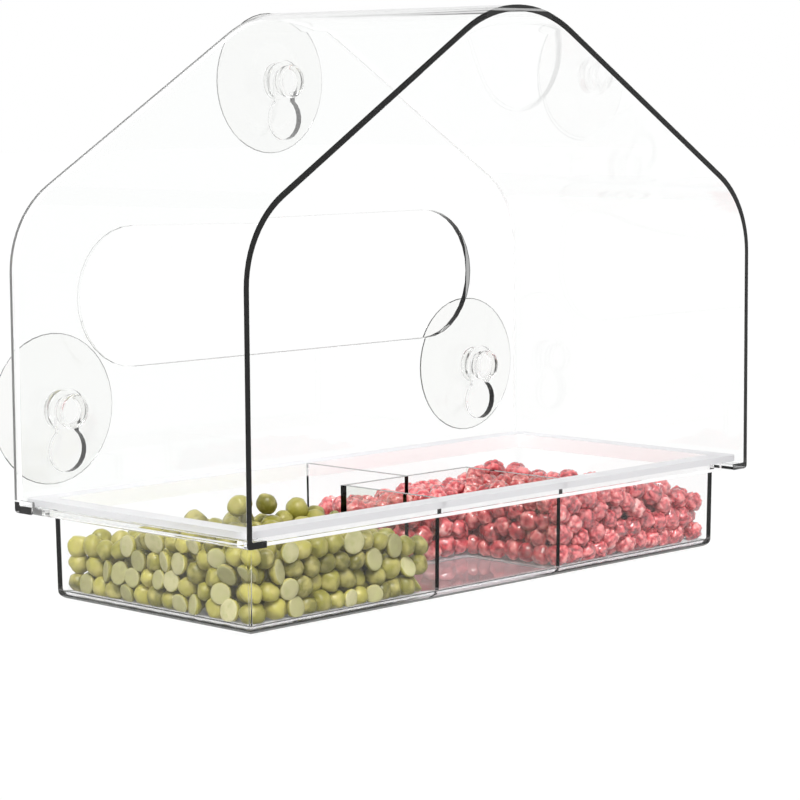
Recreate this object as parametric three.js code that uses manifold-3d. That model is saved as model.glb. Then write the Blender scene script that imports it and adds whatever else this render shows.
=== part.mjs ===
// Window bird feeder: a clear house-shaped hood that hangs on three suction cups,
// and a clear tray with three compartments that slides in on the hood's bent lips.
// Millimetres. +X is to the right seen from the front, +Y points into the window pane, +Z is up.
// The origin is on the pane's surface, at the centre of the top suction cup.
// Inside the model, heights are measured up from the underside of the tray.
import * as THREE from 'three';
import { mergeVertices } from 'three/addons/utils/BufferGeometryUtils.js';
import Module from 'manifold-3d';

const wasm = await Module();
wasm.setup();

// Roof and sides: one sheet bent over the ridge, at the eaves and into a lip along each bottom edge
const hoodWidth = 270;
const hoodDepth = 125;
const wallHeight = 107;
const sheetThickness = 2.4;
const eaveBendRadius = 37;
const ridgeBendRadius = 54;
const lipWidth = 9;
const lipBendRadius = 1.4;
const lipInnerRadius = 0.5;
const eaveArcSteps = 12;
const ridgeArcSteps = 16;
const lipArcSteps = 3;

// Back panel: a flat sheet inside the rear edge, with its own lip bent forward along the bottom
const panelThickness = 2.8;
const rearLipWidth = 10;
const entryWidth = 208;
const entryHeight = 52.8;
const entryBottom = 49.2;
const entryArcSteps = 16;

// Keyholes: a round hole that a cup's head passes, and a slot above it that hangs on the neck
const keyholeSideInset = 24.5;
const keyholeLowHeight = 20.9;
const keyholeHighHeight = 139;
const ridgeOverKeyhole = 37.5;
const keyholeRadius = 8.2;
const slotWidth = 9.6;
const keyholeTravel = 14.5;
const keyholeArcSteps = 18;
const slotArcSteps = 10;
const headSeatRadius = 8.1;
const headSeatDepth = 0.8;
const headSeatSteps = 32;

// Tray: tub that fills the space between the lips, flange that rides on them, and an apron under its front
const trayDrop = 31.5;
const trayWall = 1.8;
const trayFloor = 2;
const trayDraft = 0.5;
const trayFrontSetback = 9.6;
const traySideGap = 0.6;
const tubCornerRadius = 0.9;
const hollowCornerRadius = 0.7;
const tubFloorRadius = 3;
const hollowFloorRadius = 2;
const leastCornerShare = 0.5;
const flangeThickness = 2.4;
const flangeCornerRadius = 3;
const flangeFrontSetback = 2.5;
const flangeSideGap = 0.6;
const apronHeight = 3.7;
const apronWall = 2;
const apronFrontSetback = 5.4;
const cornerSteps = 4;
const floorArcSteps = 5;

// Partitions of the tray: a box in the middle of the front, and a divider behind it
const partitionThickness = 2;
const middleBoxWidth = 66;
const middleBoxDepth = 47;
const drainRadius = 1.6;
const drainSpacing = 26;
const drainCount = 4;
const drainSteps = 12;
const wallRootShare = 0.35;

// Suction cups: disc, boss that the panel stops against, neck and mushroom head
const cupRadius = 28;
const cupRimWidth = 5;
const cupRimThickness = 0.9;
const cupHollowDepth = 2.4;
const cupDomeHeight = 4.6;
const cupEdgeRadius = 0.4;
const bossRadius = 7.3;
const bossTop = 7.5;
const bossEdge = 0.8;
const headRadius = 6.5;
const headThickness = 4.4;
const headEdge = 1.5;
const headUnderEdge = 0.5;
const headDimpleRadius = 2.6;
const headDimpleDepth = 0.7;
const domeSteps = 6;
const edgeSteps = 3;
const cupTurnSteps = 40;

// Shared clearance between pieces that touch, and the overrun of every cut
const fitGap = 0.3;
const overrun = 2;

// Places worked out from the sizes above
const halfWidth = hoodWidth / 2;
// The roof rises until its ridge clears the top keyhole, and the side keyholes keep to the walls
const roofRise = keyholeHighHeight + keyholeTravel + ridgeOverKeyhole - wallHeight;
const keyholeSideX = halfWidth - keyholeSideInset;
const roofAngle = Math.atan2(roofRise, halfWidth);
const lipUnderside = trayDrop;
const panelBackY = -(bossTop + fitGap);
const panelFrontY = panelBackY - panelThickness;
const hoodFrontY = panelBackY - hoodDepth;
const neckRadius = slotWidth / 2 - fitGap;
const neckTop = bossTop + panelThickness + 2 * fitGap;
const lipTop = lipUnderside + sheetThickness;
const footTop = lipUnderside + lipBendRadius + panelThickness;
const flangeUnderside = Math.max(lipTop, lipUnderside + panelThickness) + fitGap;
const rimTop = flangeUnderside + flangeThickness;
const keyholes = [
  { side: 'top', x: 0, z: keyholeHighHeight },
  { side: 'left', x: -keyholeSideX, z: keyholeLowHeight },
  { side: 'right', x: keyholeSideX, z: keyholeLowHeight },
];

// Clear plastics
const acrylic = { color: 0xf2f5f5, roughness: 0.05, metalness: 0, transparent: true, opacity: 0.35 };
const hoodMaterial = new THREE.MeshStandardMaterial(acrylic);
const trayMaterial = new THREE.MeshStandardMaterial({ ...acrylic, roughness: 0.08 });
const cupMaterial = new THREE.MeshStandardMaterial({ ...acrylic, color: 0xe9e8e4, roughness: 0.2 });

// Solids: a closed geometry becomes a manifold, is cut and joined, and comes back as a geometry

function solidOf(geometry) {
  const bare = geometry.clone();
  bare.deleteAttribute('normal');
  bare.deleteAttribute('uv');
  const welded = mergeVertices(bare);
  return new wasm.Manifold(new wasm.Mesh({
    numProp: 3,
    vertProperties: new Float32Array(welded.attributes.position.array),
    triVerts: new Uint32Array(welded.index.array),
  }));
}

function geometryOf(solid) {
  const mesh = solid.getMesh();
  const geometry = new THREE.BufferGeometry();
  geometry.setAttribute('position', new THREE.BufferAttribute(mesh.vertProperties, 3));
  geometry.setIndex(new THREE.BufferAttribute(mesh.triVerts, 1));
  geometry.computeVertexNormals();
  return geometry;
}

function joined(solids) {
  return solids.reduce((sum, solid) => sum.add(solid));
}

// Outlines

function arc(centre, radius, from, to, steps) {
  const points = [];
  for (let i = 0; i <= steps; i += 1) {
    const angle = from + (to - from) * (i / steps);
    const x = centre.x + radius * Math.cos(angle);
    const y = centre.y + radius * Math.sin(angle);
    points.push(new THREE.Vector2(x, y));
  }
  return points;
}

// An outline through its corners, each with a radius and the number of steps of its round
function rounded(corners) {
  const points = [];
  corners.forEach((corner, i) => {
    const here = new THREE.Vector2(corner.x, corner.y);
    if (!corner.radius) {
      points.push(here);
      return;
    }
    const before = corners[(i + corners.length - 1) % corners.length];
    const after = corners[(i + 1) % corners.length];
    const back = new THREE.Vector2(before.x, before.y).sub(here).normalize();
    const on = new THREE.Vector2(after.x, after.y).sub(here).normalize();
    const half = Math.acos(THREE.MathUtils.clamp(back.dot(on), -1, 1)) / 2;
    const middle = back.clone().add(on).normalize();
    const centre = here.clone().addScaledVector(middle, corner.radius / Math.sin(half));
    const first = back.clone().multiplyScalar(corner.radius / Math.tan(half)).add(here).sub(centre);
    const last = on.clone().multiplyScalar(corner.radius / Math.tan(half)).add(here).sub(centre);
    const from = first.angle();
    let turn = last.angle() - from;
    if (turn > Math.PI) turn -= 2 * Math.PI;
    if (turn < -Math.PI) turn += 2 * Math.PI;
    points.push(...arc(centre, corner.radius, from, from + turn, corner.steps));
  });
  return points;
}

// An outline seen from the front, drawn in X and Z, pulled from the plane y towards the front
function pulledForward(outline, y, depth, holes = []) {
  const shape = new THREE.Shape(outline);
  holes.forEach((hole) => shape.holes.push(new THREE.Path(hole)));
  const geometry = new THREE.ExtrudeGeometry(shape, { depth, bevelEnabled: false });
  geometry.rotateX(Math.PI / 2);
  geometry.translate(0, y, 0);
  return solidOf(geometry);
}

function block(xLow, xHigh, yLow, yHigh, zLow, zHigh) {
  const geometry = new THREE.BoxGeometry(xHigh - xLow, yHigh - yLow, zHigh - zLow);
  geometry.translate((xLow + xHigh) / 2, (yLow + yHigh) / 2, (zLow + zHigh) / 2);
  return solidOf(geometry);
}

// The house outline at a distance inside the outer face, from its bottom left corner over the ridge
function houseCorners(inset, bottom) {
  const drop = inset / Math.cos(roofAngle);
  const x = halfWidth - inset;
  const eave = lipUnderside + wallHeight + inset * Math.tan(roofAngle) - drop;
  const ridge = lipUnderside + wallHeight + roofRise - drop;
  const eaveRadius = eaveBendRadius - inset;
  const ridgeRadius = ridgeBendRadius - inset;
  return [
    { x: -x, y: bottom },
    { x: -x, y: eave, radius: eaveRadius, steps: eaveArcSteps },
    { x: 0, y: ridge, radius: ridgeRadius, steps: ridgeArcSteps },
    { x, y: eave, radius: eaveRadius, steps: eaveArcSteps },
    { x, y: bottom },
  ];
}

// Roof and sides

function makeRoofAndSides() {
  const outer = houseCorners(0, lipUnderside);
  const inner = houseCorners(sheetThickness, lipTop).reverse();
  const lipEnd = halfWidth - lipWidth;
  [outer[0], outer[4]].forEach((corner) => {
    corner.radius = lipBendRadius;
    corner.steps = lipArcSteps;
  });
  [inner[0], inner[4]].forEach((corner) => {
    corner.radius = lipInnerRadius;
    corner.steps = lipArcSteps;
  });
  const outline = rounded([
    { x: -lipEnd, y: lipUnderside },
    ...outer,
    { x: lipEnd, y: lipUnderside },
    { x: lipEnd, y: lipTop },
    ...inner,
    { x: -lipEnd, y: lipTop },
  ]);
  const sheet = pulledForward(outline, panelBackY, hoodDepth);
  // A notch at the rear bottom corners leaves room for the foot of the back panel
  const reach = halfWidth + overrun;
  const notchFrontY = panelBackY - rearLipWidth - fitGap;
  const under = lipUnderside - overrun;
  const clearance = block(-reach, reach, notchFrontY, panelBackY + overrun, under, footTop + fitGap);
  return sheet.subtract(clearance);
}

// Back panel

function keyholeOutline({ x, z }) {
  const half = slotWidth / 2;
  const shoulder = Math.asin(half / keyholeRadius);
  const hole = { x, y: z };
  const slotEnd = { x, y: z + keyholeTravel };
  const from = Math.PI / 2 + shoulder;
  const to = 2.5 * Math.PI - shoulder;
  return [
    ...arc(hole, keyholeRadius, from, to, keyholeArcSteps),
    ...arc(slotEnd, half, 0, Math.PI, slotArcSteps),
  ];
}

function entryOutline() {
  const radius = entryHeight / 2;
  const reach = entryWidth / 2 - radius;
  const z = lipUnderside + entryBottom + radius;
  return [
    ...arc({ x: reach, y: z }, radius, -Math.PI / 2, Math.PI / 2, entryArcSteps),
    ...arc({ x: -reach, y: z }, radius, Math.PI / 2, 1.5 * Math.PI, entryArcSteps),
  ];
}

function makeBackPanel() {
  const outline = rounded(houseCorners(sheetThickness + fitGap, footTop));
  const raised = keyholes.map((hole) => ({ x: hole.x, z: lipUnderside + hole.z }));
  const holes = [...raised.map(keyholeOutline), entryOutline()];
  const plate = pulledForward(outline, panelBackY, panelThickness, holes);
  // The bent foot is an L pulled from one side's outer face to the other's
  const foot = rounded([
    { x: panelBackY, y: footTop },
    { x: panelBackY, y: lipUnderside, radius: lipBendRadius, steps: lipArcSteps },
    { x: panelBackY - rearLipWidth, y: lipUnderside },
    { x: panelBackY - rearLipWidth, y: lipUnderside + panelThickness },
    { x: panelFrontY, y: lipUnderside + panelThickness, radius: lipInnerRadius, steps: lipArcSteps },
    { x: panelFrontY, y: footTop },
  ]);
  const footShape = new THREE.Shape(foot);
  const footGeometry = new THREE.ExtrudeGeometry(footShape, { depth: hoodWidth, bevelEnabled: false });
  footGeometry.rotateX(Math.PI / 2);
  footGeometry.rotateZ(Math.PI / 2);
  footGeometry.translate(-halfWidth, 0, 0);
  let panel = plate.add(solidOf(footGeometry));
  // A shallow round seat for each cup's head, on the front face round the top of the slot
  raised.forEach(({ x, z }) => {
    const seat = arc({ x, y: z + keyholeTravel }, headSeatRadius, 0, 2 * Math.PI, headSeatSteps);
    seat.pop();
    const depth = headSeatDepth + overrun;
    panel = panel.subtract(pulledForward(seat, panelFrontY + headSeatDepth, depth));
  });
  return panel;
}

// Tray

// A ring of the tub: half its width, its front and rear, and the radius of its corners
function ringPoints({ halfX, frontY, rearY, radius }, z) {
  const corner = (x, y) => ({ x, y, radius, steps: cornerSteps });
  const outline = rounded([
    corner(-halfX, frontY),
    corner(halfX, frontY),
    corner(halfX, rearY),
    corner(-halfX, rearY),
  ]);
  return outline.map((point) => new THREE.Vector3(point.x, point.y, z));
}

// A closed solid through rings of equally many points, from the lowest to the highest
function lofted(rings) {
  const count = rings[0].length;
  const bottom = rings[0].reduce((sum, point) => sum.add(point), new THREE.Vector3());
  const top = rings[rings.length - 1].reduce((sum, point) => sum.add(point), new THREE.Vector3());
  bottom.divideScalar(count);
  top.divideScalar(count);
  const points = [...rings.flat(), bottom, top];
  const bottomIndex = points.length - 2;
  const topIndex = points.length - 1;
  const lastStart = (rings.length - 1) * count;
  const faces = [];
  for (let i = 0; i < count; i += 1) {
    const next = (i + 1) % count;
    for (let ring = 0; ring < rings.length - 1; ring += 1) {
      const low = ring * count;
      const high = low + count;
      faces.push(low + i, low + next, high + next);
      faces.push(low + i, high + next, high + i);
    }
    faces.push(bottomIndex, next, i);
    faces.push(topIndex, lastStart + i, lastStart + next);
  }
  const geometry = new THREE.BufferGeometry();
  const flat = points.flatMap((point) => [point.x, point.y, point.z]);
  geometry.setAttribute('position', new THREE.Float32BufferAttribute(flat, 3));
  geometry.setIndex(faces);
  return solidOf(geometry);
}

// A straight-sided plate with rounded corners
function plate(plan, zLow, zHigh) {
  return lofted([ringPoints(plan, zLow), ringPoints(plan, zHigh)]);
}

// A tub from its floor up, drawn in by a share of the draft, with a round along the floor's edge
function tub(plan, zLow, zHigh, edgeRadius) {
  const grown = (inset) => ({
    halfX: plan.halfX - inset,
    frontY: plan.frontY + inset,
    rearY: plan.rearY - inset,
    radius: Math.max(plan.radius - inset, plan.radius * leastCornerShare),
  });
  const rings = [];
  for (let i = 0; i <= floorArcSteps; i += 1) {
    const angle = (Math.PI / 2) * (i / floorArcSteps);
    const inset = trayDraft + edgeRadius * (1 - Math.sin(angle));
    rings.push(ringPoints(grown(inset), zLow + edgeRadius * (1 - Math.cos(angle))));
  }
  rings.push(ringPoints(grown(0), zHigh));
  return lofted(rings);
}

const flangePlan = {
  halfX: halfWidth - sheetThickness - flangeSideGap,
  frontY: hoodFrontY + flangeFrontSetback,
  rearY: panelFrontY - flangeSideGap,
  radius: flangeCornerRadius,
};
const tubPlan = {
  halfX: halfWidth - lipWidth - traySideGap,
  frontY: hoodFrontY + trayFrontSetback,
  rearY: panelBackY - rearLipWidth - traySideGap,
  radius: tubCornerRadius,
};
const hollowPlan = {
  halfX: tubPlan.halfX - trayWall,
  frontY: tubPlan.frontY + trayWall,
  rearY: tubPlan.rearY - trayWall,
  radius: hollowCornerRadius,
};

// Partitions are one upright wall of this plan. It is rooted in the floor and the outer walls.
function makePartitions() {
  const half = partitionThickness / 2;
  const side = middleBoxWidth / 2;
  const root = trayWall * wallRootShare;
  const front = hollowPlan.frontY - root;
  const rear = hollowPlan.rearY + root;
  const boxRear = hollowPlan.frontY + middleBoxDepth;
  const plan = [
    [-side - half, front],
    [-side + half, front],
    [-side + half, boxRear - half],
    [side - half, boxRear - half],
    [side - half, front],
    [side + half, front],
    [side + half, boxRear + half],
    [half, boxRear + half],
    [half, rear],
    [-half, rear],
    [-half, boxRear + half],
    [-side - half, boxRear + half],
  ];
  const shape = new THREE.Shape(plan.map(([x, y]) => new THREE.Vector2(x, y)));
  const foot = trayFloor - root;
  const geometry = new THREE.ExtrudeGeometry(shape, { depth: rimTop - foot, bevelEnabled: false });
  geometry.translate(0, 0, foot);
  return solidOf(geometry);
}

// A row of drain holes in each seed compartment, halfway from the middle box to the rear wall
function makeDrains() {
  const drains = [];
  const y = (hollowPlan.frontY + middleBoxDepth + hollowPlan.rearY) / 2;
  const middle = hollowPlan.halfX / 2;
  const length = 2 * trayFloor + overrun;
  for (let i = 0; i < drainCount; i += 1) {
    const offset = (i - (drainCount - 1) / 2) * drainSpacing;
    [-1, 1].forEach((side) => {
      const geometry = new THREE.CylinderGeometry(drainRadius, drainRadius, length, drainSteps);
      geometry.rotateX(Math.PI / 2);
      geometry.translate(side * (middle + offset), y, trayFloor / 2);
      drains.push(solidOf(geometry));
    });
  }
  return drains;
}

function makeTray() {
  const body = tub(tubPlan, 0, flangeUnderside, tubFloorRadius);
  const flange = plate(flangePlan, flangeUnderside, rimTop);
  // The apron hangs clear of the tub's front wall
  const apronY = hoodFrontY + apronFrontSetback;
  const apronFoot = flangeUnderside - apronHeight;
  const apronTop = flangeUnderside + flangeThickness * wallRootShare;
  const apron = block(-tubPlan.halfX, tubPlan.halfX, apronY, apronY + apronWall, apronFoot, apronTop);
  const hollow = tub(hollowPlan, trayFloor, rimTop + overrun, hollowFloorRadius);
  const shell = joined([body, flange, apron]).subtract(hollow);
  const divided = shell.add(makePartitions());
  return divided.subtract(joined(makeDrains()));
}

// Suction cups

// The profile runs from the hollow's top on the axis, over the rim and the dome, to the head's face.
// Its first value is the distance from the axis and its second the distance from the pane.
function cupProfile() {
  const rimInner = cupRadius - cupRimWidth;
  const points = [];
  const add = (radius, height) => points.push(new THREE.Vector2(radius, height));
  for (let i = 0; i <= domeSteps; i += 1) {
    const share = i / domeSteps;
    add(rimInner * share, cupHollowDepth * (1 - share * share));
  }
  add(cupRadius - cupEdgeRadius, 0);
  add(cupRadius, cupEdgeRadius);
  add(cupRadius, cupRimThickness);
  // The dome is shallow near the rim and steeper towards the boss
  for (let i = 1; i <= domeSteps; i += 1) {
    const share = i / domeSteps;
    const radius = cupRadius - (cupRadius - bossRadius) * share;
    const rise = (cupDomeHeight - cupRimThickness) * (share * share);
    add(radius, cupRimThickness + rise);
  }
  add(bossRadius, bossTop - bossEdge);
  add(bossRadius - bossEdge, bossTop);
  add(neckRadius, bossTop);
  add(neckRadius, neckTop);
  add(headRadius - headUnderEdge, neckTop);
  for (let i = 0; i <= edgeSteps; i += 1) {
    const angle = (Math.PI / 2) * (i / edgeSteps);
    const reach = headRadius - headEdge * (1 - Math.cos(angle));
    add(reach, neckTop + headThickness - headEdge * (1 - Math.sin(angle)));
  }
  add(headDimpleRadius, neckTop + headThickness);
  add(0, neckTop + headThickness - headDimpleDepth);
  return points;
}

function makeCup({ x, z }) {
  const geometry = new THREE.LatheGeometry(cupProfile(), cupTurnSteps);
  geometry.rotateX(Math.PI);
  geometry.translate(x, 0, lipUnderside + z + keyholeTravel);
  return solidOf(geometry);
}

// Assembly

function piece(name, solid, material) {
  const mesh = new THREE.Mesh(geometryOf(solid), material);
  mesh.name = name;
  return mesh;
}

const hood = new THREE.Group();
hood.add(piece('roof_and_sides', makeRoofAndSides(), hoodMaterial));
hood.add(piece('back_panel', makeBackPanel(), hoodMaterial));

const cups = new THREE.Group();
keyholes.forEach((keyhole) => {
  cups.add(piece(`suction_cup_${keyhole.side}`, makeCup(keyhole), cupMaterial));
});

const feeder = new THREE.Group();
feeder.position.z = -(lipUnderside + keyholeHighHeight + keyholeTravel);
feeder.add(hood);
feeder.add(cups);
feeder.add(piece('seed_tray', makeTray(), trayMaterial));

export default feeder;
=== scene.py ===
# Looks of the clear window bird feeder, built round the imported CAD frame.
# Lengths are metres in the frame's own axes: +X right, +Y into the window pane, +Z up.
# A name that ends in SHARE or SHARES is a share of what it belongs to, such as a grain's radius.
import math

import bmesh
import bpy
import numpy as np
from mathutils import Euler, Matrix, Vector, noise
from mathutils.bvhtree import BVHTree


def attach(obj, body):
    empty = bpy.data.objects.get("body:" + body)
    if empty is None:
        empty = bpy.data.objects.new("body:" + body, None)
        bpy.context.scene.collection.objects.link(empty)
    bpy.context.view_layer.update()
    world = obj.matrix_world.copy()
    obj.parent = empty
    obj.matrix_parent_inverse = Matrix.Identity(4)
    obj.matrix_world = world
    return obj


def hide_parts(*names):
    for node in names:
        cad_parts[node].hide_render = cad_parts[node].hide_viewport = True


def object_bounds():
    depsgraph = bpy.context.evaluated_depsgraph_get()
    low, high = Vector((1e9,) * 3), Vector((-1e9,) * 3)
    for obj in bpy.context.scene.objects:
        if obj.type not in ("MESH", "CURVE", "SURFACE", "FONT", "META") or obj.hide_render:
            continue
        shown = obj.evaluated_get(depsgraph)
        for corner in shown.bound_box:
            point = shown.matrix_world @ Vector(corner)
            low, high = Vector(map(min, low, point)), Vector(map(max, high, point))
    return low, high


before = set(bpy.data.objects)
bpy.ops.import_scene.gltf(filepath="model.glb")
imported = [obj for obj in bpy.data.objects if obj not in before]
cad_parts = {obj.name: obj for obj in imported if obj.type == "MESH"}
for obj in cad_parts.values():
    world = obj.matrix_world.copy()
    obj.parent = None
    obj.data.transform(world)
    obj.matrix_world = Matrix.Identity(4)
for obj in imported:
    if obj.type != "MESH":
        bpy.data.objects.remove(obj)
cad_low, cad_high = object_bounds()
MM = 0.001

# Camera, fitted to the photograph's outlines
CAMERA_PLACE = (-0.7414, -0.8013, -0.0025)
CAMERA_YAW = math.radians(45.44)
CAMERA_PITCH = math.radians(6.40)
CAMERA_ROLL = math.radians(-0.40)
CAMERA_LENS = 124.13
CAMERA_SENSOR = 36.0
CAMERA_NEAR = 50 * MM
CAMERA_FAR = 20.0

# Light, at a level where a colour renders about as it is written
WORLD_LEVEL = 0.5
SUN_LEVEL = 2.0
SUN_ANGLE = math.radians(15)
SUN_TURN = (math.radians(38), math.radians(-12), math.radians(-30))
BACKGROUND = 1.0
FLOOR_COLOUR = (0.95, 0.95, 0.945)
FLOOR_GLOW = 1.04
FLOOR_GLOW_SHARE = 0.75
FLOOR_REACH = 6.0
FLOOR_GAP = 0.4 * MM

# Plastics
ACRYLIC_IOR = 1.49
RIPPLE_SCALE = 22
RIPPLE_DETAIL = 1
RIPPLE_DEPTH = MM
CLEAR_SHADOW = 0.95
MATT_SHADOW = 0.9

# Places of a Mix node's colour sockets
MIX_FIRST, MIX_SECOND, MIX_RESULT = 6, 7, 2

# Clear pieces: how facets merge, edges are rounded and a bonded face is told from a free one
MERGE_REACH = 1e-6
EDGE_ROUND = 0.3 * MM
EDGE_STEPS = 2
SHARP_ANGLE = math.radians(30)
FLAT_ANGLE = math.radians(0.6)
FLATS_WEIGHT = 100
BOND_REACH = 0.35 * MM
SLACK = 0.1 * MM

# How much of a face's normal lies along an axis
LEVEL_SHARE = 0.999
FACING_SHARE = 0.9
HALF_FACING_SHARE = 0.5
LEANING_SHARE = 0.3
UPRIGHT_SHARE = 0.1

# The hood's faces: the front sawn edge has a painted highlight band at the ridge, between two
# heights, with painted shade around it
CLEAR, PALE_GLOW_FACE, PAINTED_LIGHT_FACE, PAINTED_SHADE_FACE, REAR_SHADE_FACE, HIGHLIGHT_BAND_FACE = range(6)
RIDGE_SIDE = 17.2 * MM
RIDGE_BAND_TOP = 26.5 * MM
RIDGE_BAND_FOOT = 25.6 * MM
# Welded faces right of the middle and above the eave get a brighter painted glow
EAVE = -60.0 * MM
# The right keyhole's inner faces, past this side and under this top, get painted shade
KEYHOLE_SIDE = 100.0 * MM
KEYHOLE_TOP = -124.0 * MM

# The tray's faces: a painted glow on the band and apron stripe, painted shade on the foot and the
# middle box's walls, a painted reflection on the box's floor
RIM, GLOW_BAND, FOOT, BOX_WALL, BOX_FLOOR = range(1, 6)
RIM_TOP = -148.0 * MM
RIM_FOOT = -150.4 * MM
APRON_REAR = -124.0 * MM
APRON_STRIPE = -153.1 * MM
GLOW_BAND_FOOT = -153.6 * MM
# Below this height the tray's foot rounding gets painted shade
FOOT_TOP = -183.7 * MM
WALL_BAND = 0.3 * MM

# The tray's compartments, from the CAD solid: inner faces of its walls and partitions
FLOOR_THICKNESS = 2.0 * MM
TRAY_FLOOR = cad_low[2] + FLOOR_THICKNESS
TRAY_SIDE = 123.6 * MM
TRAY_FRONT = -121.4 * MM
TRAY_REAR = -20.2 * MM
BOX_SIDE = 34.0 * MM
BOX_REAR = -73.4 * MM
BOX_WEB = 30.0 * MM
DIVIDER_SIDE = 1.0 * MM
WALL_ROOM = 0.7 * MM
FLOOR_ROOM = 0.1 * MM

# Tops of the two heaps at places in the tray, in millimetres
PEA_TOPS = (
    (-122, -23, -163), (-122, -53, -159), (-122, -87, -156), (-122, -118, -157),
    (-97, -120, -157), (-68, -120, -156.5), (-52, -120, -160), (-38, -120, -163),
    (-36, -100, -165), (-36, -80, -163), (-103, -92, -147.5), (-95, -88, -147.5),
    (-86, -90, -147.5), (-106, -75, -151), (-72, -90, -150.5), (-62, -90, -153),
    (-80, -60, -156), (-60, -60, -160), (-60, -30, -165), (-20, -40, -167),
    (-20, -65, -166), (-5, -25, -168), (-95, -40, -161),
)
BERRY_TOPS = (
    (42, -120, -157), (56, -120, -156), (74, -120, -155.5), (92, -120, -155.5),
    (104, -120, -155.5), (112, -120, -160), (121, -120, -165), (37, -100, -156),
    (60, -100, -154.5), (90, -100, -155), (110, -95, -160), (120, -90, -166),
    (3, -70, -157), (3, -40, -161), (15, -65, -156), (29, -85, -152), (35, -70, -154.5),
    (48, -60, -154.5), (62, -60, -151.5), (74, -60, -153), (83, -60, -155.5),
    (93, -60, -159), (110, -60, -163), (120, -40, -170), (60, -30, -164),
    (20, -30, -163), (100, -25, -170), (56, -45, -157), (3, -22, -164),
)
TOP_SOFTNESS = 5 * MM

# Grains with a place of their own, by the top of each one in millimetres.
# They crown the heaps, and the last three peas fill the rear left corner.
PEA_CROWNS = (
    (-110, -80, -147.7), (-99, -90, -142.7), (-86.7, -90, -143.6), (-72, -90, -147.3),
    (-62.6, -90, -149.8), (-119, -24.8, -175.2), (-118.6, -25, -168.1), (-119, -24.9, -161.8),
)
BERRY_CROWNS = ((64.5, -60, -150), (78, -60, -152.5), (75.6, -90, -152.3))

# How the grains settle
PEA_RADIUS = 3.85 * MM
BERRY_RADIUS = 3.95 * MM
RADIUS_SPREAD_SHARE = 0.12
GRAIN_FILL_SHARE = 0.6
GRAIN_LAP_SHARE = 0.985
GRAIN_TRIES = 60000
LEAST_GAP = 1e-6
PAIR_REACH_SHARE = 2.7
CELL_MARGIN = 3
PUSH_SHARE = 0.75
SINK_SHARE = 0.25
CROWN_SHARE = 0.8
SETTLE_STEPS = 220
SETTLE_FALL = 0.12 * MM
PAIR_STEPS = 6
PEA_SEED = 3
BERRY_SEED = 10

# The sides of the tray, as the signs that X has there
LEFT, RIGHT = -1, 1

# Shapes of the grains
GRAIN_KINDS = 9
GRAIN_LOW = 3
GRAIN_HIGH = 4
GRAIN_SHARP_ANGLE = math.radians(60)
PIECE_FACES = 170000
NOISE_STEPS = (7.3, 3.1, 5.7)
SKIN, CUT = range(2)

# A whole pea: its swells as share, scale and noise number, and the flats where it was pressed
PEA_SHAPE_SEED = 100
PEA_SWELLS = ((0.09, 1.5, 0), (0.03, 3.5, 20))
PEA_LENGTH_SHARE = 1.03
PEA_HEIGHT_SHARES = (0.76, 0.96)
PEA_FLATS = 2
PEA_FLAT_SHARES = (0.68, 0.84)
PEA_PRESS_SHARE = 0.85
PEA_SIZE_SHARE = 1.03

# A split pea: the section of its cut face and rim, from the axis out, and its dome
SPLIT_SHAPE_SEED = 200
SPLIT_TURNS = 22
SPLIT_RIM_SHARE = 0.16
SPLIT_SECTION_SHARES = (
    (0.0, 0.03),
    (0.5, 0.0),
    (0.86, 0.01),
    (0.96, 0.05),
    (1.0, SPLIT_RIM_SHARE),
)
SPLIT_CUT_RINGS = 2
SPLIT_RISE_SHARES = (0.78, 0.92)
SPLIT_DOME_STEPS = 7
SPLIT_SWELL = (0.05, 1.5, 30)
SPLIT_SHARE = 0.3
SPLIT_TILT = math.radians(20)
SPLIT_OUT_SHARE = 0.7
SPLIT_BACK_SHARE = 0.4
LEAN_REACH = 1.6 * MM

# A berry: its folds, wrinkles and creases as share, scale, noise number and sharpness
BERRY_CORE_SHARE = 0.8
BERRY_RELIEF = ((0.25, 1.3, 60, 0.6), (0.18, 2.7, 80, 0.6), (0.06, 5.5, 90, 0.7))
# A berry's tone follows its relief, as painted shade in the dips and painted highlight on the
# ridges
BERRY_TONE_LIMITS = (8, 92)
BERRY_TONE_SHARE = 0.3
BERRY_SIZE_SHARE = 1.04
BERRY_SHOWN_SHARE = 2.5

# Skins of the grains
PATCH_DETAIL = 3
PATCH_EDGES = (0.45, 0.66)
GRAIN_COAT_ROUGHNESS = 0.12
GRAIN_BUMP_SHARE = 0.6
GRAIN_BUMP_DETAIL = 4
PEA_BUMP = 0.14 * MM
CUT_BUMP = 0.15 * MM
BERRY_BUMP = 0.25 * MM
PEA_SKIN_TONES = (
    (0.0, (0.15, 0.138, 0.018)),
    (0.5, (0.29, 0.268, 0.04)),
    (1.0, (0.48, 0.435, 0.09)),
)
PEA_CUT_TONES = (
    (0.0, (0.33, 0.31, 0.13)),
    (0.5, (0.46, 0.435, 0.215)),
    (1.0, (0.6, 0.56, 0.31)),
)
# From painted shade in the creases through the berry's red to a painted pink highlight on the
# ridges
BERRY_TONES = (
    (0.0, (0.12, 0.005, 0.01)),
    (0.28, (0.36, 0.018, 0.03)),
    (0.58, (0.63, 0.07, 0.082)),
    (0.82, (0.8, 0.24, 0.235)),
    (1.0, (0.93, 0.48, 0.45)),
)


# Small helpers


def link(name, mesh):
    piece = bpy.data.objects.new(name, mesh)
    bpy.context.scene.collection.objects.link(piece)
    return piece


def node_tree(name):
    made = bpy.data.materials.new(name)
    made.use_nodes = True
    tree = made.node_tree
    tree.nodes.clear()
    out = tree.nodes.new("ShaderNodeOutputMaterial")
    return made, tree, out


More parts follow.
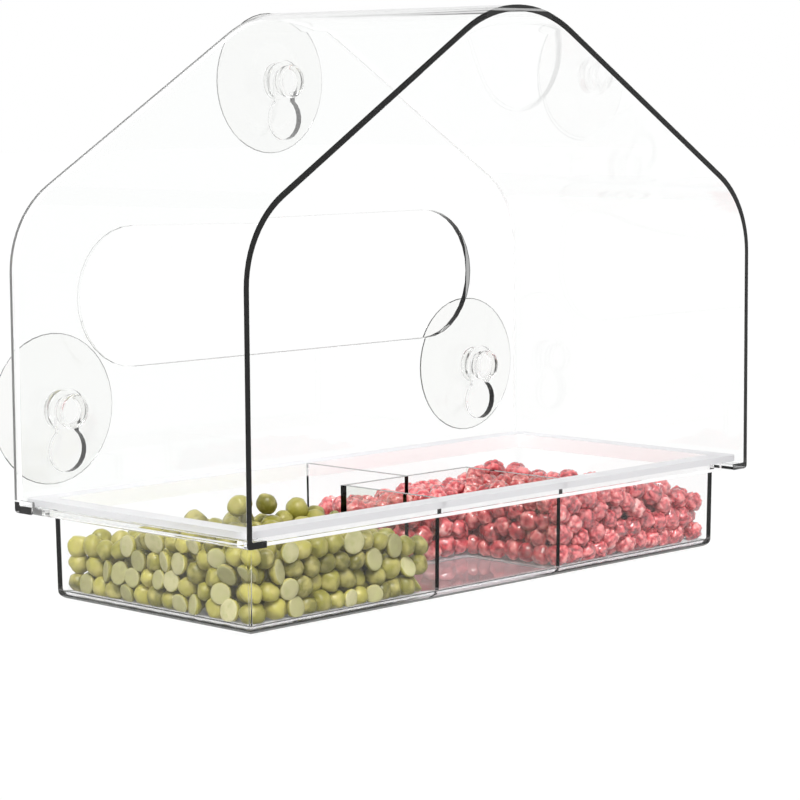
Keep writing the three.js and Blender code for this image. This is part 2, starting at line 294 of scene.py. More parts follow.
def mixed(tree, share, first, second):
    """Shader first with second laid over it by the share that a socket gives."""
    mix = tree.nodes.new("ShaderNodeMixShader")
    tree.links.new(share, mix.inputs["Fac"])
    tree.links.new(first.outputs[0], mix.inputs[1])
    tree.links.new(second.outputs[0], mix.inputs[2])
    return mix.outputs["Shader"]


def noise_field(tree, scale, detail):
    place = tree.nodes.new("ShaderNodeTexCoord")
    field = tree.nodes.new("ShaderNodeTexNoise")
    field.inputs["Scale"].default_value = scale
    field.inputs["Detail"].default_value = detail
    tree.links.new(place.outputs["Object"], field.inputs["Vector"])
    return field.outputs["Fac"]


def bumped(tree, skin, height, strength, depth):
    bump = tree.nodes.new("ShaderNodeBump")
    bump.inputs["Strength"].default_value = strength
    bump.inputs["Distance"].default_value = depth
    tree.links.new(height, bump.inputs["Height"])
    tree.links.new(bump.outputs["Normal"], skin.inputs["Normal"])


def make_camera():
    data = bpy.data.cameras.new("camera")
    data.lens = CAMERA_LENS
    data.sensor_width = CAMERA_SENSOR
    data.clip_start = CAMERA_NEAR
    data.clip_end = CAMERA_FAR
    camera = link("camera", data)
    camera.location = CAMERA_PLACE
    ahead = Vector((
        math.sin(CAMERA_YAW) * math.cos(CAMERA_PITCH),
        math.cos(CAMERA_YAW) * math.cos(CAMERA_PITCH),
        -math.sin(CAMERA_PITCH),
    ))
    turn = ahead.to_track_quat("-Z", "Y").to_matrix() @ Matrix.Rotation(CAMERA_ROLL, 3, "Z")
    camera.rotation_euler = turn.to_euler()
    bpy.context.scene.camera = camera


# Materials


def plastic_skin(tree, colour, clearness, roughness, shine):
    """A plastic's surface, with a share of glass's shine."""
    skin = tree.nodes.new("ShaderNodeBsdfPrincipled")
    skin.inputs["Base Color"].default_value = (*colour, 1)
    skin.inputs["Roughness"].default_value = roughness
    skin.inputs["IOR"].default_value = ACRYLIC_IOR
    skin.inputs["Transmission Weight"].default_value = clearness
    skin.inputs["Specular Tint"].default_value = (shine, shine, shine, 1)
    return skin


def let_lamps_through(tree, out, skin, shadow):
    """Lamps shine through the material, in the grey that its shadow has."""
    path = tree.nodes.new("ShaderNodeLightPath")
    through = tree.nodes.new("ShaderNodeBsdfTransparent")
    through.inputs["Color"].default_value = (shadow, shadow, shadow, 1)
    shader = mixed(tree, path.outputs["Is Shadow Ray"], skin, through)
    tree.links.new(shader, out.inputs["Surface"])


def clear_plastic(name, tint, ripple, shine, roughness=0.0):
    """Clear plastic with a slight ripple."""
    made, tree, out = node_tree(name)
    skin = plastic_skin(tree, tint, 1, roughness, shine)
    bumped(tree, skin, noise_field(tree, RIPPLE_SCALE, RIPPLE_DETAIL), ripple, RIPPLE_DEPTH)
    let_lamps_through(tree, out, skin, CLEAR_SHADOW)
    return made


def matt_plastic(name, colour, roughness, clearness=0.0, glow=0.0, shine=1.0):
    """The same plastic where it is matt, in a plain colour with a glow if given: welded faces, and
    painted shade, painted highlight and painted glow on edges and bands.
    """
    made, tree, out = node_tree(name)
    skin = plastic_skin(tree, colour, clearness, roughness, shine)
    skin.inputs["Emission Color"].default_value = (1, 1, 1, 1)
    skin.inputs["Emission Strength"].default_value = glow
    let_lamps_through(tree, out, skin, MATT_SHADOW)
    return made


def ramp(tree, source, stops):
    node = tree.nodes.new("ShaderNodeValToRGB")
    tree.links.new(source, node.inputs["Fac"])
    band = node.color_ramp
    while len(band.elements) < len(stops):
        band.elements.new(stops[-1][0])
    for element, (place, colour) in zip(band.elements, stops):
        element.position = place
        element.color = (*colour, 1)
    return node.outputs["Color"]


def laid_over(tree, base, colour, share):
    """A socket's colour with a plain colour laid over it by the share of another socket."""
    mix = tree.nodes.new("ShaderNodeMix")
    mix.data_type = "RGBA"
    tree.links.new(share, mix.inputs["Factor"])
    tree.links.new(base, mix.inputs[MIX_FIRST])
    mix.inputs[MIX_SECOND].default_value = (*colour, 1)
    return mix.outputs[MIX_RESULT]


def grain_material(name, tones, mottle_and_highlight, mottle_and_highlight_share, mottle_and_highlight_scale, roughness, bump, coat=0.0):
    """A grain's skin: each point has its own tone, with mottling and a fine bump over it.

    The bump is given as its scale and its depth.
    On berries the tone holds painted shade in the dips and painted highlight on the ridges,
    and the mottle is a painted highlight.
    """
    made, tree, out = node_tree(name)
    tone = tree.nodes.new("ShaderNodeAttribute")
    tone.attribute_name = "tone"
    base = ramp(tree, tone.outputs["Fac"], tones)
    bare, full = PATCH_EDGES
    most = (mottle_and_highlight_share, mottle_and_highlight_share, mottle_and_highlight_share)
    patches = noise_field(tree, mottle_and_highlight_scale, PATCH_DETAIL)
    share = ramp(tree, patches, ((bare, (0, 0, 0)), (full, most)))
    skin = tree.nodes.new("ShaderNodeBsdfPrincipled")
    tree.links.new(laid_over(tree, base, mottle_and_highlight, share), skin.inputs["Base Color"])
    skin.inputs["Roughness"].default_value = roughness
    skin.inputs["Coat Weight"].default_value = coat
    skin.inputs["Coat Roughness"].default_value = GRAIN_COAT_ROUGHNESS
    bump_scale, bump_depth = bump
    grit = noise_field(tree, bump_scale, GRAIN_BUMP_DETAIL)
    bumped(tree, skin, grit, GRAIN_BUMP_SHARE, bump_depth)
    tree.links.new(skin.outputs["BSDF"], out.inputs["Surface"])
    return made


# Clear pieces: each is the CAD solid with its facets merged and its edges rounded


def merged_shape(node):
    shape = bmesh.new()
    shape.from_mesh(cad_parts[node].data)
    bmesh.ops.remove_doubles(shape, verts=shape.verts, dist=MERGE_REACH)
    bmesh.ops.dissolve_limit(
        shape,
        angle_limit=FLAT_ANGLE,
        use_dissolve_boundaries=False,
        verts=shape.verts,
        edges=shape.edges,
    )
    return shape


def plain_mesh(name, shape):
    shape.verts.index_update()
    places = [tuple(vert.co) for vert in shape.verts]
    faces = [[vert.index for vert in face.verts] for face in shape.faces]
    mesh = bpy.data.meshes.new(name)
    mesh.from_pydata(places, [], faces)
    shape.free()
    return mesh


def clear_piece(shape, name, body, nodes, materials):
    """A piece of a shape whose faces hold the index of their material."""
    kinds = [face.material_index for face in shape.faces]
    mesh = plain_mesh(name, shape)
    for material in materials:
        mesh.materials.append(material)
    mesh.polygons.foreach_set("material_index", kinds)
    mesh.shade_smooth()
    mesh.set_sharp_from_angle(angle=SHARP_ANGLE)
    piece = link(name, mesh)
    bevel = piece.modifiers.new("round", "BEVEL")
    bevel.width = EDGE_ROUND
    bevel.segments = EDGE_STEPS
    bevel.limit_method = "ANGLE"
    bevel.angle_limit = SHARP_ANGLE
    weighted = piece.modifiers.new("flats", "WEIGHTED_NORMAL")
    weighted.mode = "FACE_AREA"
    weighted.weight = FLATS_WEIGHT
    weighted.keep_sharp = True
    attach(piece, body)
    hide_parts(*nodes)


def near(value, place):
    return abs(value - place) < SLACK


def cut_along(shape, faces, place, way):
    """Faces cut in two by a plane, as all the faces that this leaves."""
    edges = {edge for face in faces for edge in face.edges}
    verts = {vert for face in faces for vert in face.verts}
    parts = [*verts, *edges, *faces]
    cut = bmesh.ops.bisect_plane(shape, geom=parts, plane_co=place, plane_no=way)
    return [part for part in cut["geom"] if isinstance(part, bmesh.types.BMFace)]


def sheet_face_kind(face):
    """Which of the hood's plastics a face of the bent sheet has, by its place and direction."""
    middle = face.calc_center_median()
    # The rear edge: painted shade on its left half, painted glow on its right half
    if face.normal.y > FACING_SHARE:
        return REAR_SHADE_FACE if middle.x < 0 else PALE_GLOW_FACE
    if face.normal.y > -FACING_SHARE or abs(middle.x) > RIDGE_SIDE:
        return CLEAR
    # At the ridge in front, the sawn edge gets a painted highlight band between painted shade
    return HIGHLIGHT_BAND_FACE if RIDGE_BAND_FOOT < middle.z < RIDGE_BAND_TOP else PAINTED_SHADE_FACE


def panel_face_kind(face, wall):
    """Which of the hood's plastics a face of the back panel has, by its place and direction."""
    middle = face.calc_center_median()
    if abs(face.normal.y) > HALF_FACING_SHARE:
        return CLEAR
    # Welded faces have a painted glow, brighter to the right above the eave
    if wall.ray_cast(middle, face.normal, BOND_REACH)[0]:
        return PAINTED_LIGHT_FACE if middle.x > 0 and middle.z > EAVE else PALE_GLOW_FACE
    # The right keyhole's inner faces get painted shade
    in_keyhole = middle.x > KEYHOLE_SIDE and middle.z < KEYHOLE_TOP
    return PAINTED_SHADE_FACE if in_keyhole and face.normal.x < -LEANING_SHARE else CLEAR


def make_hood(*plastics):
    """The bent sheet and the back panel welded to it.

    The sheet's sawn edge has a painted highlight band between painted shade at the ridge in front.
    Behind, it has painted shade over its left half and a painted glow over its right half.
    """
    sheet = merged_shape("roof_and_sides")
    wall = BVHTree.FromBMesh(sheet)
    rear = [face for face in sheet.faces if face.normal.y > FACING_SHARE]
    cut_along(sheet, rear, (0, 0, 0), (1, 0, 0))
    front = [face for face in sheet.faces if face.normal.y < -FACING_SHARE]
    for x in (-RIDGE_SIDE, RIDGE_SIDE):
        front = cut_along(sheet, front, (x, 0, 0), (1, 0, 0))
    for z in (RIDGE_BAND_TOP, RIDGE_BAND_FOOT):
        front = cut_along(sheet, front, (0, 0, z), (0, 0, 1))
    for face in sheet.faces:
        face.material_index = sheet_face_kind(face)
    panel = merged_shape("back_panel")
    for face in panel.faces:
        face.material_index = panel_face_kind(face, wall)
    clear_piece(sheet, "roof_sheet", "hood", ["roof_and_sides"], plastics)
    clear_piece(panel, "rear_panel", "hood", ["back_panel"], plastics[:REAR_SHADE_FACE])


def tray_face_kind(face):
    """Which of the tray's plastics a face has, by its place and direction.

    The underside has the rim's.
    """
    middle = face.calc_center_median()
    across = abs(middle.x)
    inside = across < TRAY_SIDE - WALL_BAND
    inside = inside and TRAY_FRONT + WALL_BAND < middle.y < TRAY_REAR - WALL_BAND
    outside = across > TRAY_SIDE + WALL_BAND
    outside = outside or middle.y < TRAY_FRONT - WALL_BAND or middle.y > TRAY_REAR + WALL_BAND
    on_box = across < BOX_SIDE + SLACK and middle.y < BOX_REAR + SLACK and not outside
    # The apron's lower stripe has a painted glow
    if middle.y < APRON_REAR and middle.z < RIM_FOOT - SLACK:
        return GLOW_BAND if middle.z < APRON_STRIPE else CLEAR
    if outside and middle.z > RIM_FOOT - SLACK:
        return RIM
    # The band under the flange has a painted glow, except on the left
    if not inside and not outside and middle.z > GLOW_BAND_FOOT:
        return CLEAR if middle.x < SLACK - TRAY_SIDE else GLOW_BAND
    if near(middle.z, cad_low[2]):
        return RIM
    # The foot's rounding gets painted shade
    if middle.z < FOOT_TOP and abs(face.normal.z) < LEVEL_SHARE:
        return FOOT
    # The middle box's floor gets a painted pink reflection of the berries
    if on_box and near(middle.z, TRAY_FLOOR):
        return BOX_FLOOR
    # The middle box's side walls get painted shade
    on_box = on_box and middle.y > TRAY_FRONT + SLACK and across > BOX_WEB
    return BOX_WALL if on_box and abs(face.normal.x) > FACING_SHARE else CLEAR


def make_tray(*plastics):
    """The tray, with its flange, band, foot and middle box each in a plastic of their own. The
    band and apron stripe have a painted glow, the foot and the box's walls painted shade, the
    box's floor a painted reflection of the berries.
    """
    tray = merged_shape("seed_tray")
    top = [face for face in tray.faces if near(face.calc_center_median().z, RIM_TOP)]
    for place, way in (
        ((TRAY_SIDE, 0, 0), (1, 0, 0)),
        ((-TRAY_SIDE, 0, 0), (1, 0, 0)),
        ((0, TRAY_FRONT, 0), (0, 1, 0)),
        ((0, TRAY_REAR, 0), (0, 1, 0)),
    ):
        top = cut_along(tray, top, place, way)
    for height in (GLOW_BAND_FOOT, APRON_STRIPE):
        upright = [face for face in tray.faces if abs(face.normal.z) < UPRIGHT_SHARE]
        cut_along(tray, upright, (0, 0, height), (0, 0, 1))
    cut_along(tray, list(tray.faces), (0, 0, FOOT_TOP), (0, 0, 1))
    for face in tray.faces:
        face.material_index = tray_face_kind(face)
    clear_piece(tray, "tray", "tray", ["seed_tray"], plastics)


def make_cups(clear):
    for side in ("top", "left", "right"):
        node = f"suction_cup_{side}"
        clear_piece(merged_shape(node), f"cup_{side}", "cups", [node], [clear])


# Food: grains settle in each L-shaped compartment, and rise to a surface through chosen tops


def surface_height(tops, x, y):
    """Height of the heap at each place, from the tops near it."""
    tops = np.array(tops) * MM
    gap = (x[:, None] - tops[:, 0]) ** 2 + (y[:, None] - tops[:, 1]) ** 2
    weight = 1 / (gap + TOP_SOFTNESS**2) ** 2
    return (weight * tops[:, 2]).sum(1) / weight.sum(1)


def near_pairs(places, reach):
    """Index pairs of grains that are closer than reach, found by the cells they lie in."""
    cell = np.floor(places / reach).astype(np.int64)
    cell -= cell.min(0)
    size = cell.max(0) + CELL_MARGIN
    key = (cell[:, 0] * size[1] + cell[:, 1]) * size[2] + cell[:, 2]
    order = np.argsort(key, kind="stable")
    ranked = key[order]
    steps = [
        (dx * size[1] + dy) * size[2] + dz
        for dx in (-1, 0, 1)
        for dy in (-1, 0, 1)
        for dz in (-1, 0, 1)
    ]
    firsts = []
    seconds = []
    for step in steps:
        low = np.searchsorted(ranked, key + step, "left")
        count = np.searchsorted(ranked, key + step, "right") - low
        offset = np.arange(count.sum()) - np.repeat(np.cumsum(count) - count, count)
        firsts.append(np.repeat(np.arange(len(places)), count))
        seconds.append(order[np.repeat(low, count) + offset])
    first = np.concatenate(firsts)
    second = np.concatenate(seconds)
    once = first < second
    first = first[once]
    second = second[once]
    close = ((places[first] - places[second]) ** 2).sum(1) < reach**2
    return first[close], second[close]


def keep_inside(places, radii, side):
    """Push grains back inside the compartment on one side of the tray."""
    x = places[:, 0] * side
    y = places[:, 1]
    places[:, 2] = np.maximum(places[:, 2], TRAY_FLOOR + radii)
    x = np.clip(x, DIVIDER_SIDE + radii + WALL_ROOM, TRAY_SIDE - radii - WALL_ROOM)
    y = np.clip(y, TRAY_FRONT + radii + WALL_ROOM, TRAY_REAR - radii - WALL_ROOM)
    over_x = BOX_SIDE + radii + WALL_ROOM - x
    over_y = BOX_REAR + radii + WALL_ROOM - y
    inside = (over_x > 0) & (over_y > 0)
    by_x = inside & (over_x <= over_y)
    by_y = inside & ~by_x
    x[by_x] += over_x[by_x]
    y[by_y] += over_y[by_y]
    places[:, 0] = x * side
    places[:, 1] = y


def scattered_grains(side, tops, radius, chance):
    """Random places under a heap's surface, as many as fill it."""
    low = np.array((DIVIDER_SIDE, TRAY_FRONT, TRAY_FLOOR))
    high = np.array((TRAY_SIDE, TRAY_REAR, max(top[2] for top in tops) * MM))
    places = chance.uniform(low, high, (GRAIN_TRIES, 3))
    places[:, 0] *= side
    under = places[:, 2] < surface_height(tops, places[:, 0], places[:, 1])
    boxed = (np.abs(places[:, 0]) < BOX_SIDE) & (places[:, 1] < BOX_REAR)
    free = under & ~boxed
    room = np.prod(high - low) * free.mean()
    count = int(GRAIN_FILL_SHARE * room / (4 / 3 * math.pi * radius**3))
    return places[free][:count]


def pushes(places, radii, first, second):
    """How far each grain is pushed by those that it laps."""
    apart = places[second] - places[first]
    gap = np.sqrt((apart**2).sum(1)) + LEAST_GAP
    lap = (radii[first] + radii[second]) * GRAIN_LAP_SHARE - gap
    touch = lap > 0
    push = apart[touch] * (lap[touch] / gap[touch] / 2)[:, None]
    move = np.zeros_like(places)
    np.add.at(move, first[touch], -push)
    np.add.at(move, second[touch], push)
    return move * PUSH_SHARE


def settled_grains(side, tops, crowns, radius, seed):
    """Places and radii of the grains in one compartment, pushed apart until they rest."""
    chance = np.random.default_rng(seed)
    crowns = np.array(crowns) * MM - (0, 0, radius)
    places = np.concatenate([crowns, scattered_grains(side, tops, radius, chance)])
    spread = chance.uniform(-RADIUS_SPREAD_SHARE, RADIUS_SPREAD_SHARE, len(places))
    radii = radius * (1 + spread)
    for step in range(SETTLE_STEPS):
        if step % PAIR_STEPS == 0:
            first, second = near_pairs(places, radius * PAIR_REACH_SHARE)
        places += pushes(places, radii, first, second)
        places[:, 2] -= SETTLE_FALL * (1 - step / SETTLE_STEPS)
        level = surface_height(tops, places[:, 0], places[:, 1])
        proud = places[:, 2] + radii * CROWN_SHARE - level
        places[:, 2] -= np.maximum(proud, 0) * SINK_SHARE
        places[:len(crowns)] = crowns
        keep_inside(places, radii, side)
    return places, radii, chance


def held_inside(points, side):
    """Points of one grain, shifted so that none of them is in a wall or the floor."""
    x = points[:, 0] * side
    y = points[:, 1]
    room = WALL_ROOM
    shift_x = max(DIVIDER_SIDE + room - x.min(), 0) - max(x.max() - TRAY_SIDE + room, 0)
    shift_y = max(TRAY_FRONT + room - y.min(), 0) - max(y.max() - TRAY_REAR + room, 0)
    shift_z = max(TRAY_FLOOR + FLOOR_ROOM - points[:, 2].min(), 0)
    boxed = (x < BOX_SIDE + room) & (y < BOX_REAR + room)
    if boxed.any():
        out_x = (BOX_SIDE + room - x[boxed]).max()
        out_y = (BOX_REAR + room - y[boxed]).max()
        if out_x < out_y:
            shift_x = max(shift_x, out_x)
        else:
            shift_y = max(shift_y, out_y)
    return points + np.array((shift_x * side, shift_y, shift_z))


def ball(detail):
    shape = bmesh.new()
    bmesh.ops.create_icosphere(shape, subdivisions=detail, radius=1)
    shape.verts.index_update()
    points = np.array([tuple(vert.co) for vert in shape.verts])
    faces = np.array([[vert.index for vert in face.verts] for face in shape.faces])
    shape.free()
    return points, faces


def field(points, scale, number):
    """Smooth noise over points, from -1 to 1. Each number gives another noise."""
    shift = Vector([number * step for step in NOISE_STEPS])
    return np.array([noise.noise(Vector(point) * scale + shift) for point in points])


def pea_shape(number):
    """A dried pea: a ball, a little flat and uneven, with two flats where it was pressed."""
    points, faces = ball(GRAIN_LOW)
    chance = np.random.default_rng(PEA_SHAPE_SEED + number)
    swell = 1
    for share, scale, shift in PEA_SWELLS:
        swell = swell + share * field(points, scale, number + shift)
    sizes = np.array((PEA_LENGTH_SHARE, 1.0, chance.uniform(*PEA_HEIGHT_SHARES)))
    points = points * swell[:, None] * sizes
    for _ in range(PEA_FLATS):
        way = chance.normal(size=3)
        way /= np.sqrt((way**2).sum())
        proud = np.maximum(points @ way - chance.uniform(*PEA_FLAT_SHARES), 0)
        points -= PEA_PRESS_SHARE * proud[:, None] * way
    return points, faces, np.full(len(faces), SKIN)


def split_section(rise):
    """Radius and height of each ring of half a pea, from the cut face's middle to near the top."""
    section = list(SPLIT_SECTION_SHARES)
    for i in range(1, SPLIT_DOME_STEPS):
        angle = math.pi / 2 * i / SPLIT_DOME_STEPS
        height = SPLIT_RIM_SHARE + (rise - SPLIT_RIM_SHARE) * math.sin(angle)
        section.append((math.cos(angle), height))
    return section


def split_shape(number):
    """Half a pea: a dome over a flat cut face with a rounded rim, facing -Z."""
    chance = np.random.default_rng(SPLIT_SHAPE_SEED + number)
    turns = SPLIT_TURNS
    rise = chance.uniform(*SPLIT_RISE_SHARES)
    middle, *rings = split_section(rise)
    points = [(0, 0, middle[1])]
    for radius, height in rings:
        for i in range(turns):
            angle = 2 * math.pi * i / turns
            points.append((radius * math.cos(angle), radius * math.sin(angle), height))
    points.append((0, 0, rise))
    faces = []
    kinds = []
    for i in range(turns):
        after = (i + 1) % turns
        faces.append((0, 1 + after, 1 + i))
        kinds.append(CUT)
        for ring in range(len(rings) - 1):
            low = 1 + ring * turns
            high = low + turns
            faces.append((low + i, low + after, high + after))
            faces.append((low + i, high + after, high + i))
            kinds += [CUT if ring < SPLIT_CUT_RINGS else SKIN] * 2
        last = 1 + (len(rings) - 1) * turns
        faces.append((last + i, last + after, len(points) - 1))
        kinds.append(SKIN)
    points = np.array(points)
    share, scale, shift = SPLIT_SWELL
    points *= (1 + share * field(points, scale, number + shift))[:, None]
    return points, np.array(faces), np.array(kinds)


def berry_shape(number, detail):
    """A dried berry: a ball drawn into sharp wrinkles and a few deep folds, with painted shade
    where it dips and painted highlight where it rises.
    """
    points, faces = ball(detail)
    relief = 0
    for share, scale, shift, sharpness in BERRY_RELIEF:
        relief = relief + share * np.abs(field(points, scale, number + shift)) ** sharpness
    points = points * (BERRY_CORE_SHARE + relief)[:, None]
    points *= 1 / np.sqrt((points**2).sum(1)).mean()
    low, high = np.percentile(relief, BERRY_TONE_LIMITS)
    height = np.clip((relief - low) / (high - low), 0, 1)
    return points, faces, np.full(len(faces), SKIN), height


def turned(chance):
    """A rotation in any direction, all as likely."""
    w, x, y, z = chance.normal(size=4)
    length = math.sqrt(w * w + x * x + y * y + z * z)
    w, x, y, z = w / length, x / length, y / length, z / length
    return np.array(Matrix((
        (1 - 2 * (y * y + z * z), 2 * (x * y - z * w), 2 * (x * z + y * w)),
        (2 * (x * y + z * w), 1 - 2 * (x * x + z * z), 2 * (y * z - x * w)),
        (2 * (x * z - y * w), 2 * (y * z + x * w), 1 - 2 * (x * x + y * y)),
    )))


def grain_piece(name, parts, materials):
    """One mesh of many grains. Each part is points, faces, kinds of face and tones of points."""
    counts = np.cumsum([0] + [len(part[0]) for part in parts])
    points = np.concatenate([part[0] for part in parts])
    faces = np.concatenate([part[1] + start for part, start in zip(parts, counts)])
    kinds = np.concatenate([part[2] for part in parts])
    tones = np.concatenate([part[3] for part in parts])
    mesh = bpy.data.meshes.new(name)
    mesh.from_pydata(points.tolist(), [], faces.tolist())
    for material in materials:
        mesh.materials.append(material)
    mesh.polygons.foreach_set("material_index", kinds.astype(np.int32))
    tone = mesh.attributes.new("tone", "FLOAT", "POINT")
    tone.data.foreach_set("value", tones.astype(np.float32))
    mesh.shade_smooth()
    mesh.set_sharp_from_angle(angle=GRAIN_SHARP_ANGLE)
    piece = link(name, mesh)
    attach(piece, "tray")


def grain_pieces(name, parts, materials):
    """Grains from left to right in pieces of a moderate number of faces."""
    parts = sorted(parts, key=lambda part: part[0][0][0])
    total = sum(len(part[1]) for part in parts)
    pieces = total // PIECE_FACES + 1
    size = len(parts) // pieces + 1
    for i in range(pieces):
        grain_piece(f"{name}_{i + 1}", parts[i * size:(i + 1) * size], materials)


def nearest_wall(place, radius, side):
    """The outward direction of a side, front or rear wall that a grain leans on, if any."""
    x, y, _ = place
    room = radius + LEAN_REACH
    if TRAY_SIDE - x * side < room:
        return Vector((side, 0, 0))
    if y - TRAY_FRONT < room:
        return Vector((0, -1, 0))
    if TRAY_REAR - y < room:
        return Vector((0, 1, 0))
    return None


def make_peas():
    skin = grain_material(
        "pea_skin",
        PEA_SKIN_TONES,
        mottle_and_highlight=(0.5, 0.44, 0.15),
        mottle_and_highlight_share=0.7,
        mottle_and_highlight_scale=230,
        roughness=0.34,
        bump=(900, PEA_BUMP),
    )
    cut = grain_material(
        "pea_cut",
        PEA_CUT_TONES,
        mottle_and_highlight=(0.42, 0.42, 0.17),
        mottle_and_highlight_share=0.7,
        mottle_and_highlight_scale=380,
        roughness=0.6,
        bump=(700, CUT_BUMP),
    )
    places, radii, chance = settled_grains(LEFT, PEA_TOPS, PEA_CROWNS, PEA_RADIUS, PEA_SEED)
    whole = [pea_shape(i) for i in range(GRAIN_KINDS)]
    split = [split_shape(i) for i in range(GRAIN_KINDS)]
    parts = []
    for i, (place, radius) in enumerate(zip(places, radii)):
        wall = nearest_wall(place, radius, LEFT)
        turn = turned(chance)
        kind = chance.integers(GRAIN_KINDS)
        tone = chance.uniform()
        centre = place.copy()
        points, faces, kinds = whole[kind]
        if chance.uniform() < SPLIT_SHARE and i >= len(PEA_CROWNS):
            points, faces, kinds = split[kind]
            if wall is None:
                centre -= turn[:, 2] * (radius * SPLIT_BACK_SHARE)
            else:
                lean = Vector(chance.normal(size=3)) * math.tan(SPLIT_TILT) / 2
                aim = (wall + lean).normalized()
                turn = np.array((-aim).to_track_quat("Z", "Y").to_matrix())
                centre += np.array(wall) * (radius * SPLIT_OUT_SHARE)
        placed = held_inside(points @ turn.T * radius * PEA_SIZE_SHARE + centre, LEFT)
        parts.append((placed, faces, kinds, np.full(len(placed), tone)))
    grain_pieces("peas", parts, [skin, cut])


def make_berries():
    skin = grain_material(
        "berry_skin",
        BERRY_TONES,
        # On berries the mottle is a painted pinkish highlight
        mottle_and_highlight=(0.9, 0.42, 0.4),
        mottle_and_highlight_share=0.3,
        mottle_and_highlight_scale=300,
        roughness=0.18,
        bump=(900, BERRY_BUMP),
        coat=1.0,
    )
    places, radii, chance = settled_grains(
        RIGHT, BERRY_TOPS, BERRY_CROWNS, BERRY_RADIUS, BERRY_SEED
    )
    fine = [berry_shape(i, GRAIN_HIGH) for i in range(GRAIN_KINDS)]
    plain = [berry_shape(i, GRAIN_LOW) for i in range(GRAIN_KINDS)]
    tops = surface_height(BERRY_TOPS, places[:, 0], places[:, 1])
    parts = []
    for place, radius, top in zip(places, radii, tops):
        depth = min(place[1] - TRAY_FRONT, top - place[2])
        shapes = fine if depth < BERRY_SHOWN_SHARE * radius else plain
        points, faces, kinds, height = shapes[chance.integers(GRAIN_KINDS)]
        turn = turned(chance)
        placed = held_inside(points @ turn.T * radius * BERRY_SIZE_SHARE + place, RIGHT)
        # A random share is the berry's own tone; the rest is painted shade and highlight from its
        # relief
        tone = BERRY_TONE_SHARE * chance.uniform() + (1 - BERRY_TONE_SHARE) * height
        parts.append((placed, faces, kinds, tone))
    grain_pieces("berries", parts, [skin])


# Stage


def seen_rays(tree):
    """1 for a ray that shows what it meets: from the camera, a reflection or through glass."""
    path = tree.nodes.new("ShaderNodeLightPath")
    shown = path.outputs["Is Camera Ray"]
    for ray in ("Is Glossy Ray", "Is Transmission Ray"):
        most = tree.nodes.new("ShaderNodeMath")
        most.operation = "MAXIMUM"
        tree.links.new(shown, most.inputs[0])
        tree.links.new(path.outputs[ray], most.inputs[1])
        shown = most.outputs[0]
    return shown


def make_world():
    world = bpy.data.worlds.new("white_studio")
    bpy.context.scene.world = world
    world.use_nodes = True
    tree = world.node_tree
    tree.nodes.clear()
    out = tree.nodes.new("ShaderNodeOutputWorld")
    whites = []
    for level in (WORLD_LEVEL, BACKGROUND):
        white = tree.nodes.new("ShaderNodeBackground")
        white.inputs["Color"].default_value = (1, 1, 1, 1)
        white.inputs["Strength"].default_value = level
        whites.append(white)
    tree.links.new(mixed(tree, seen_rays(tree), *whites), out.inputs["Surface"])


def make_lamps():
    data = bpy.data.lights.new("soft_sun", "SUN")
    data.energy = SUN_LEVEL
    data.angle = SUN_ANGLE
    lamp = link("soft_sun", data)
    lamp.rotation_euler = Euler(SUN_TURN)


def floor_material():
    made, tree, out = node_tree("floor_white")
    surface = tree.nodes.new("ShaderNodeBsdfDiffuse")
    surface.inputs["Color"].default_value = (*FLOOR_COLOUR, 1)
    glow = tree.nodes.new("ShaderNodeEmission")
    glow.inputs["Strength"].default_value = FLOOR_GLOW
    share = tree.nodes.new("ShaderNodeMath")
    share.operation = "MULTIPLY"
    share.inputs[1].default_value = FLOOR_GLOW_SHARE
    tree.links.new(seen_rays(tree), share.inputs[0])
    tree.links.new(mixed(tree, share.outputs[0], surface, glow), out.inputs["Surface"])
    return made


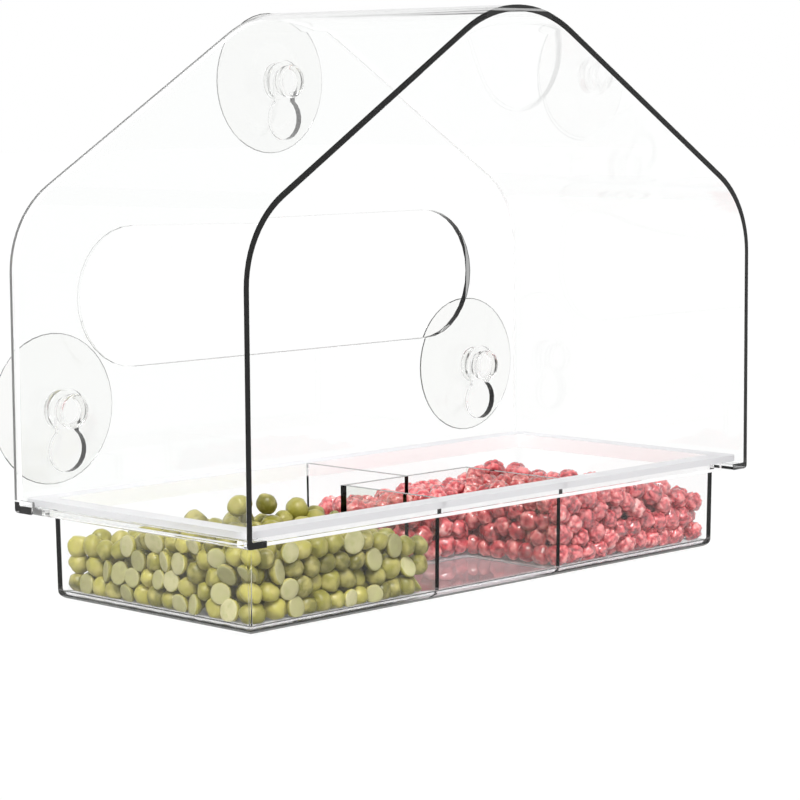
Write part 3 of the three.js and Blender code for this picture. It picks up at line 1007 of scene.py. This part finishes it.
def make_floor():
    shape = bmesh.new()
    bmesh.ops.create_grid(shape, x_segments=2, y_segments=2, size=FLOOR_REACH)
    mesh = bpy.data.meshes.new("floor")
    shape.to_mesh(mesh)
    shape.free()
    mesh.materials.append(floor_material())
    floor = link("floor", mesh)
    floor.location = (0, 0, cad_low[2] - FLOOR_GAP)


bpy.context.scene.view_settings.view_transform = "Standard"
make_camera()
# Pale grey with a glow though it is no lamp: partly the welded faces' pale look, partly painted
# light; also on the sheet's rear right half and the tray's band and apron stripe
pale_painted_glow = matt_plastic("pale_painted_glow", (0.55, 0.55, 0.55), roughness=0.6, glow=0.42)
make_hood(
    clear_plastic("hood_clear", (0.99, 0.995, 0.992), ripple=0.02, shine=0.6),
    pale_painted_glow,
    # Brighter painted glow on the welded faces to the right above the eave
    matt_plastic("weld_painted_light", (0.55, 0.55, 0.55), roughness=0.6, glow=0.6),
    # Near black: painted shade on the ridge's front edge and in the right keyhole
    matt_plastic("edge_painted_shade", (0.02, 0.02, 0.02), roughness=0.3, shine=0.4),
    # Dark grey: painted shade on the left half of the sheet's rear edge
    matt_plastic("rear_painted_shade", (0.16, 0.16, 0.16), roughness=0.5),
    # Pale grey: painted highlight across the ridge's front edge
    matt_plastic("ridge_painted_highlight", (0.42, 0.42, 0.42), roughness=0.5),
)
make_tray(
    clear_plastic("tray_clear", (0.985, 0.985, 0.985), ripple=0.04, shine=0.25),
    matt_plastic("rim_pale", (0.74, 0.735, 0.755), roughness=0.35, clearness=0.3),
    pale_painted_glow,
    # Dark grey with no shine: painted shade along the tray's foot
    matt_plastic("foot_painted_shade", (0.2, 0.205, 0.2), roughness=0.5, shine=0.0),
    # Tinted darker than the rest of the tray: painted shade over what is seen through the box
    clear_plastic("box_wall_painted_shade", (0.84, 0.87, 0.83), ripple=0.04, shine=0.25),
    # Pink: painted reflection of the berries on the middle box's floor
    clear_plastic("box_floor_painted_reflection", (0.46, 0.3, 0.3), ripple=0.04, shine=1.0),
)
make_cups(
    clear_plastic("cup_clear", (0.95, 0.95, 0.94), ripple=0.05, shine=0.8, roughness=0.08)
)
make_peas()
make_berries()
make_world()
make_lamps()
make_floor()
